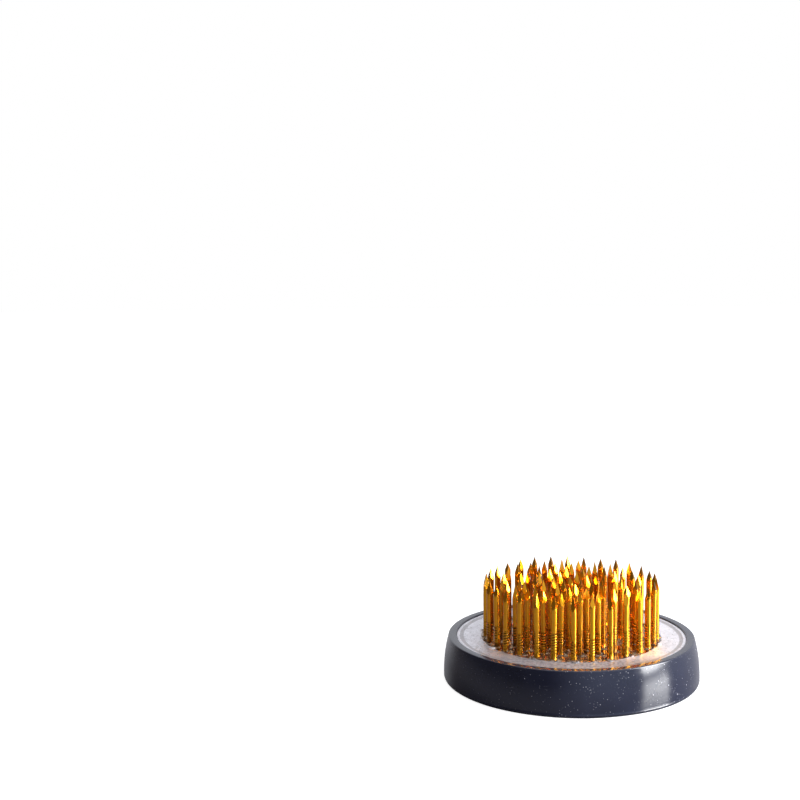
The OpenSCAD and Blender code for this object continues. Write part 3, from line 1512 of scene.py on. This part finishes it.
    def build(
        self,
        standing: GeometryTree,
        bed: PinBed,
        floor: float,
        lead: Material,
        crumb: Material,
        brass: Material,
    ) -> None:
        """Adds the collars, the lead crumbs and the brass chips to the scene.

        Args:
            standing: The tree that stands shapes on points.
            bed: The pins.
            floor: The height of the floor that the pins stand in.
            lead: The casting's material.
            crumb: The lead waste's material.
            brass: The pins' material.
        """
        chance = random.Random(self.seed)
        stands = bed.every_stand
        feet = self.feet(stands, floor, chance)
        shapes = {
            f"Shape {n + 1}": helper_object(f"collar_{n + 1}", self.collar(n + 31))
            for n in range(self.forms)
        }
        mesh = standing.run(feet, {"Finish": lead} | shapes)
        add_piece("lead_collars", mesh, Body.BASE, Slot.LEAD)
        scatter = scatter_tree()
        for load in self.loads:
            shape = helper_object(load.name + "_shape", self.litter_shape(load))
            near = [s for s in stands if s.foot.x * load.side > -self.overlap]
            if not load.side:
                near = self.edge_stands(floor)
            values = {
                "Finish": {Slot.LEAD: crumb, Slot.BRASS: brass}[load.slot],
                "Chip": shape,
                "Skirt Radius": self.skirt,
                "Chips per Square Metre": load.density,
                "Smallest": load.smallest,
                "Largest": load.largest,
                "Seed": load.seed,
            }
            mesh = scatter.run(self.feet(near, floor, chance), values)
            add_piece(load.name, mesh, Body.BASE, load.slot)
            bpy.data.objects.remove(shape)
        for helper in shapes.values():
            bpy.data.objects.remove(helper)


# --------------------------------------------------------------------- studio


@dataclass(frozen=True)
class SoftBox:
    """One rectangular light, aimed at a point."""

    name: str
    place: Vector
    width: float
    height: float
    power: float
    tint: Colour = (1.0, 1.0, 1.0)
    aim: Vector = Vector((0.0, 0.0, 0.012))

    def build(self) -> None:
        """Adds the light to the scene, unseen by the camera itself."""
        data = bpy.data.lights.new(self.name, "AREA")
        data.shape = "RECTANGLE"
        data.size, data.size_y = self.width, self.height
        data.energy = self.power
        data.color = self.tint
        light = bpy.data.objects.new(self.name, data)
        light.location = self.place
        light.rotation_euler = (self.aim - self.place).to_track_quat("-Z", "Y").to_euler()
        light.visible_camera = False
        bpy.context.scene.collection.objects.link(light)


@dataclass(frozen=True)
class SkyPatch:
    """One soft area of the world: its direction, the cosines where it fades in, and its colour."""

    direction: tuple[float, float, float]
    reach: Range
    tint: Colour


@dataclass
class Studio:
    """The pale floor, the soft light and the camera."""

    distance: float = 0.351
    elevation: float = 18.0
    aim_left: float = 7.26
    aim_down: float = 6.49
    roll: float = -0.8
    lens: float = 60.6
    floor_size: float = 4.0
    floor_sheen: Colour = (0.27, 0.26, 0.28)
    floor_roughness: float = 0.16
    floor_matt: Colour = (0.4, 0.4, 0.4)
    floor_glow: float = 0.88
    dark: Colour = (0.06, 0.026, 0.014)
    sky: tuple[SkyPatch, ...] = (
        SkyPatch((-0.9, -0.4, 0.2), (0.3, 0.95), (0.13, 0.12, 0.14)),
        SkyPatch((0.93, -0.37, 0.0), (0.0, 0.8), (0.78, 0.83, 0.98)),
        SkyPatch((0.15, 0.99, 0.0), (0.35, 0.75), (0.92, 0.94, 1.0)),
    )
    boxes: tuple[SoftBox, ...] = (
        SoftBox("key_right", Vector((0.686, -0.141, 0.30)), 0.38, 0.54, 16.4),
        SoftBox("top", Vector((0.05, 0.12, 0.85)), 0.8, 0.8, 3.2),
    )

    def camera(self) -> None:
        """Adds the camera: it stands back from the object and looks a little left of it."""
        rise = math.radians(self.elevation)
        place = Vector((0.0, -self.distance * math.cos(rise), self.distance * math.sin(rise)))
        left, down = math.radians(-self.aim_left), math.radians(self.aim_down)
        ahead = Vector(
            (math.sin(left) * math.cos(down), math.cos(left) * math.cos(down), -math.sin(down))
        )
        right = Vector((math.cos(left), -math.sin(left), 0.0))
        turned = Matrix.Rotation(math.radians(-self.roll), 3, ahead)
        right = turned @ right
        up = right.cross(ahead)
        data = bpy.data.cameras.new("camera")
        data.lens = self.lens
        data.clip_start = 0.01
        camera = bpy.data.objects.new("camera", data)
        bpy.context.scene.collection.objects.link(camera)
        axes = Matrix((right, up, -ahead)).transposed().to_4x4()
        camera.matrix_world = Matrix.Translation(place) @ axes
        bpy.context.scene.camera = camera

    def floor(self) -> None:
        """Adds the floor: white to the eye, and a soft sheen to everything that it lights."""
        half = self.floor_size / 2
        corners = [(-half, -half, 0), (half, -half, 0), (half, half, 0), (-half, half, 0)]
        mesh = bpy.data.meshes.new("studio_floor")
        mesh.from_pydata(corners, [], [(0, 1, 2, 3)])
        floor = bpy.data.objects.new("studio_floor", mesh)
        bpy.context.scene.collection.objects.link(floor)
        mesh.materials.append(self.floor_finish())

    def floor_finish(self) -> Material:
        """Builds the floor's material.

        Returns:
            The material.
        """
        sheen = {"Base Color": (*self.floor_sheen, 1.0), "Roughness": self.floor_roughness}
        skin = Finish("studio_white", sheen | {"IOR": 1.45})
        seen = skin.add("ShaderNodeLightPath").outputs["Is Camera Ray"]
        matt = skin.add("ShaderNodeBsdfDiffuse", {0: (*self.floor_matt, 1.0)})
        glow = skin.add("ShaderNodeEmission", {0: (1.0, 1.0, 1.0, 1.0), 1: self.floor_glow})
        white = skin.add("ShaderNodeAddShader", {0: matt.outputs[0], 1: glow.outputs[0]})
        mix = skin.add(
            "ShaderNodeMixShader", {0: seen, 1: skin.shader.outputs[0], 2: white.outputs[0]}
        )
        below = skin.add("ShaderNodeNewGeometry").outputs["Backfacing"]
        clear = skin.add("ShaderNodeBsdfTransparent").outputs[0]
        sheet = skin.add("ShaderNodeMixShader", {0: below, 1: mix.outputs[0], 2: clear})
        output = skin.tree.nodes["Material Output"]
        skin.plug(output.inputs["Surface"], sheet.outputs[0])
        return skin.material

    def surroundings(self) -> None:
        """Makes the world: white to the eye, darker towards the viewer's side for reflections."""
        world = bpy.data.worlds.new("studio_world")
        bpy.context.scene.world = world
        world.use_nodes = True
        sky = Wiring(world.node_tree)
        heading = sky.add("ShaderNodeTexCoord").outputs["Generated"]
        colour = self.dark
        for patch in self.sky:
            facing = {0: heading, 1: patch.direction}
            turned = sky.add("ShaderNodeVectorMath", facing, operation="DOT_PRODUCT")
            cosine = turned.outputs["Value"]
            colour = sky.blend(sky.remap(cosine, patch.reach), colour, patch.tint)
        seen = sky.add("ShaderNodeLightPath").outputs["Is Camera Ray"]
        backdrop = world.node_tree.nodes["Background"]
        sky.plug(backdrop.inputs["Color"], sky.blend(seen, colour, (1.0, 1.0, 1.0)))

    def build(self) -> None:
        """Adds everything that isn't the object."""
        self.camera()
        self.floor()
        self.surroundings()
        for box in self.boxes:
            box.build()
        bpy.context.scene.view_settings.view_transform = "Standard"
        LOG.info("studio: camera, floor, world and lights")


# ----------------------------------------------------------------------- main


def main() -> None:
    """Builds the studio, then the ring, the base and the pins."""
    logging.basicConfig(level=logging.INFO, format="%(name)s: %(message)s")
    Studio().build()
    effects = Effects()
    rubber = RubberFinish().material(effects)
    lead = LeadFinish().material(effects)
    brown = {"bright": (0.62, 0.52, 0.44), "dull": (0.24, 0.17, 0.12)}
    crumb = LeadFinish(name="lead_crumb", field_radius=0.0, **brown).material(effects)
    brass = BrassFinish().material(effects)
    turned = turned_tree()
    bed = PinBed()
    standing = standing_tree(len(bed.points))
    RubberRing().build(turned, rubber)
    base = LeadBase()
    base.build(turned, lead)
    bed.build(standing, brass)
    PinFootings().build(standing, bed, base.floor, lead, crumb, brass)


if __name__ == "__main__":
    main()
